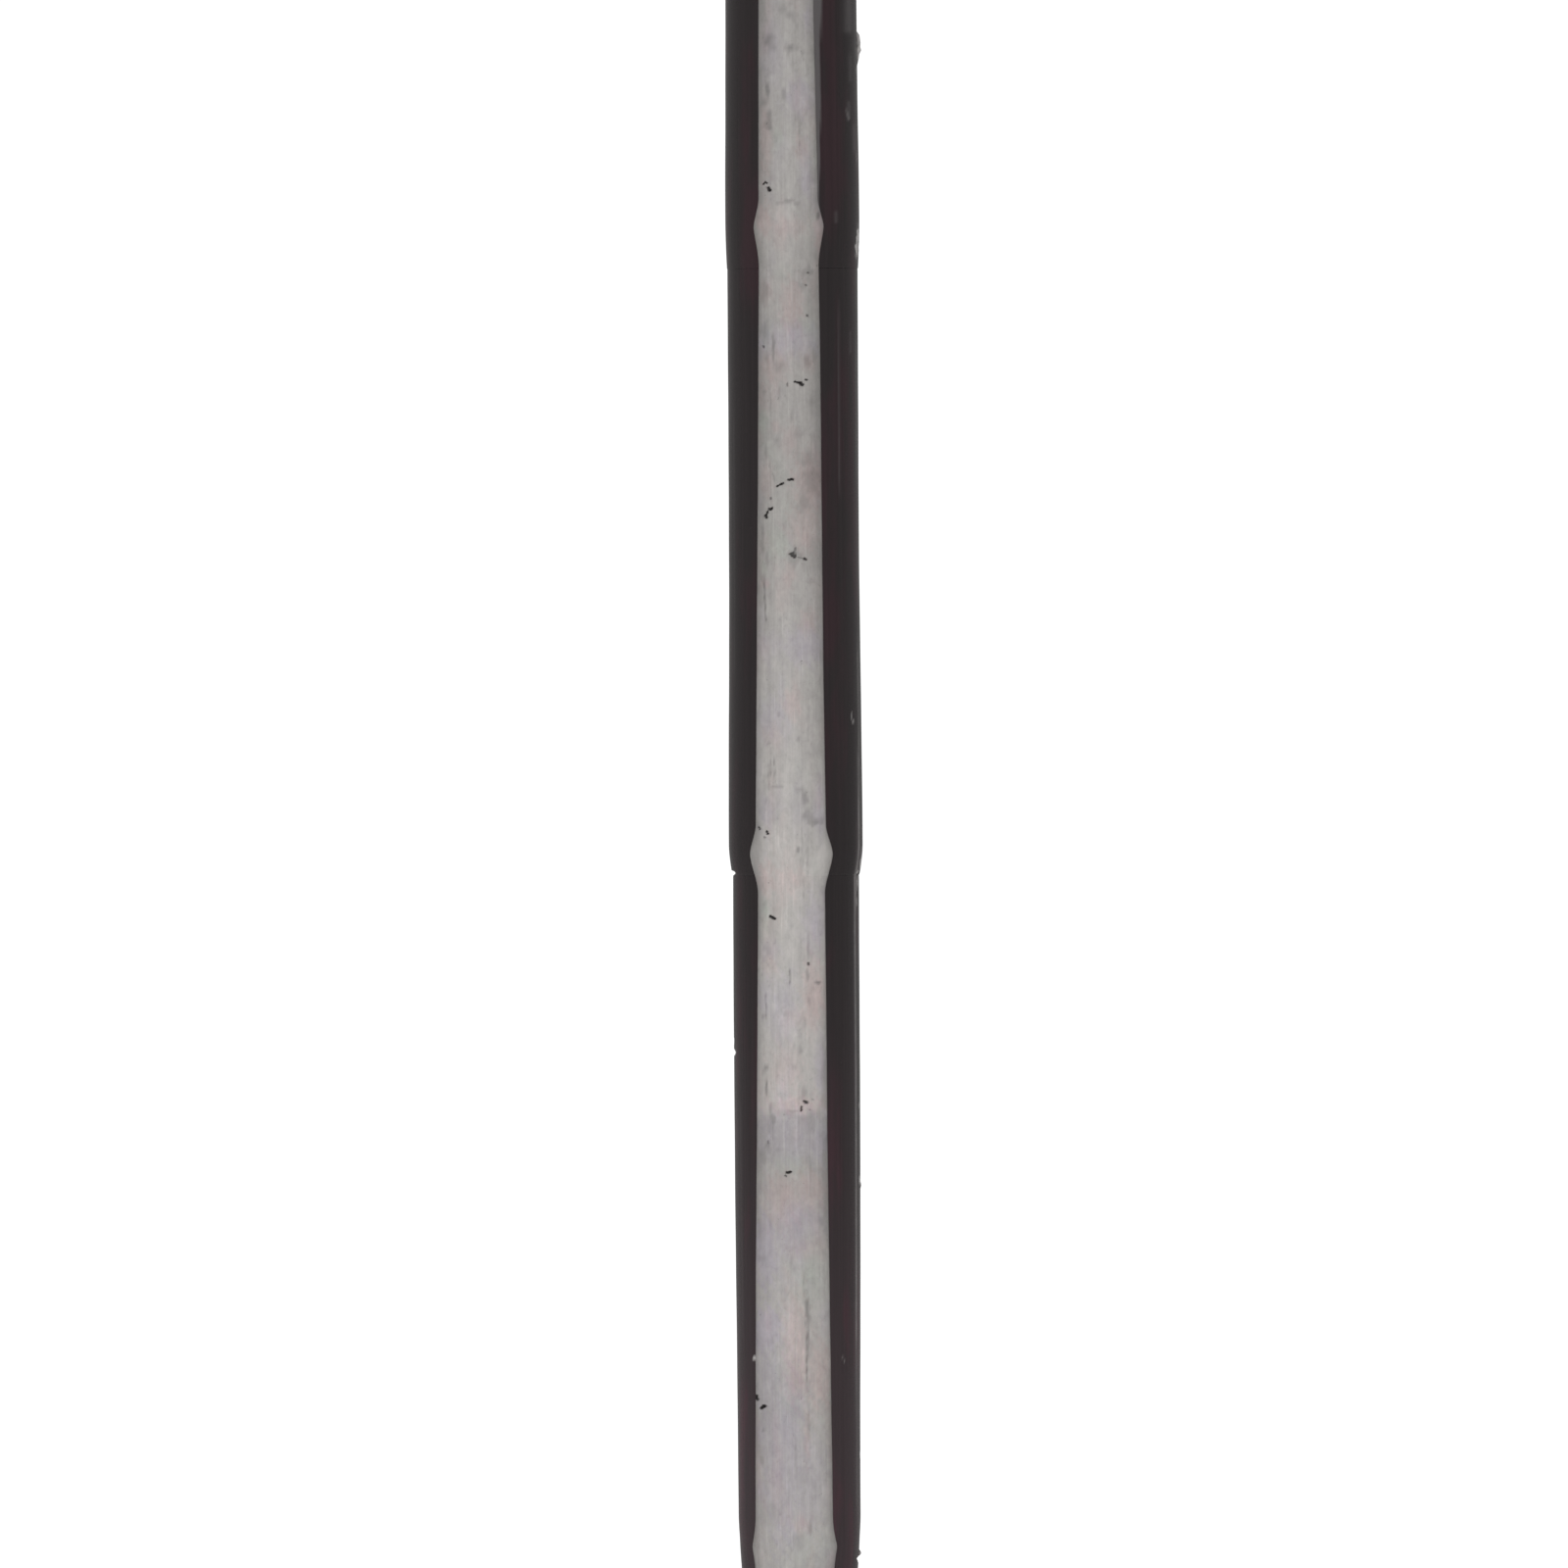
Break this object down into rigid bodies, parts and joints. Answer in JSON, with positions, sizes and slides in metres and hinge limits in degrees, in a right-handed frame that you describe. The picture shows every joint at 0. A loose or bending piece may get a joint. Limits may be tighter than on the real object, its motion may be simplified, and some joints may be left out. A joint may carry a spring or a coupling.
{
  "type": "devil stick",
  "caption": "Slim noded juggling stick, black sleeves on a wooden core, a grey slat let into front and back, rubber end caps.",
  "frame": {"origin": "the stick's balance point, on its axis at half its length", "axes": "+Z along the stick towards its upper end; -Y is the front, where one grey slat faces"},
  "size_m": [0.0258, 0.0258, 0.72],
  "materials": {
    "black_lacquer": "gloss, faint scuffs",
    "grey_slat": "grey satin lacquer over lengthwise fibre, small dark pits",
    "core_wood": "bare, straight grain",
    "ring_rubber": "matt",
    "cap_rubber": "satin, moulded",
    "weight_steel": "turned",
    "bright_steel": "zinc plated"
  },
  "bodies": {
    "root": {"core_rod": "core_wood", "waist_sleeve": "black_lacquer", "upper_inner_sleeve": "black_lacquer", "upper_middle_sleeve": "black_lacquer", "upper_outer_sleeve": "black_lacquer", "upper_node_ring_1": "ring_rubber", "upper_node_ring_2": "ring_rubber", "upper_node_ring_3": "ring_rubber", "upper_balance_weight": "weight_steel", "upper_end_washer": "bright_steel", "upper_end_screw": "bright_steel", "upper_end_cap": "cap_rubber", "lower_inner_sleeve": "black_lacquer", "lower_middle_sleeve": "black_lacquer", "lower_outer_sleeve": "black_lacquer", "lower_node_ring_1": "ring_rubber", "lower_node_ring_2": "ring_rubber", "lower_node_ring_3": "ring_rubber", "lower_balance_weight": "weight_steel", "lower_end_washer": "bright_steel", "lower_end_screw": "bright_steel", "lower_end_cap": "cap_rubber", "front_strip": "grey_slat", "back_strip": "grey_slat"}
  },
  "joints": []
}
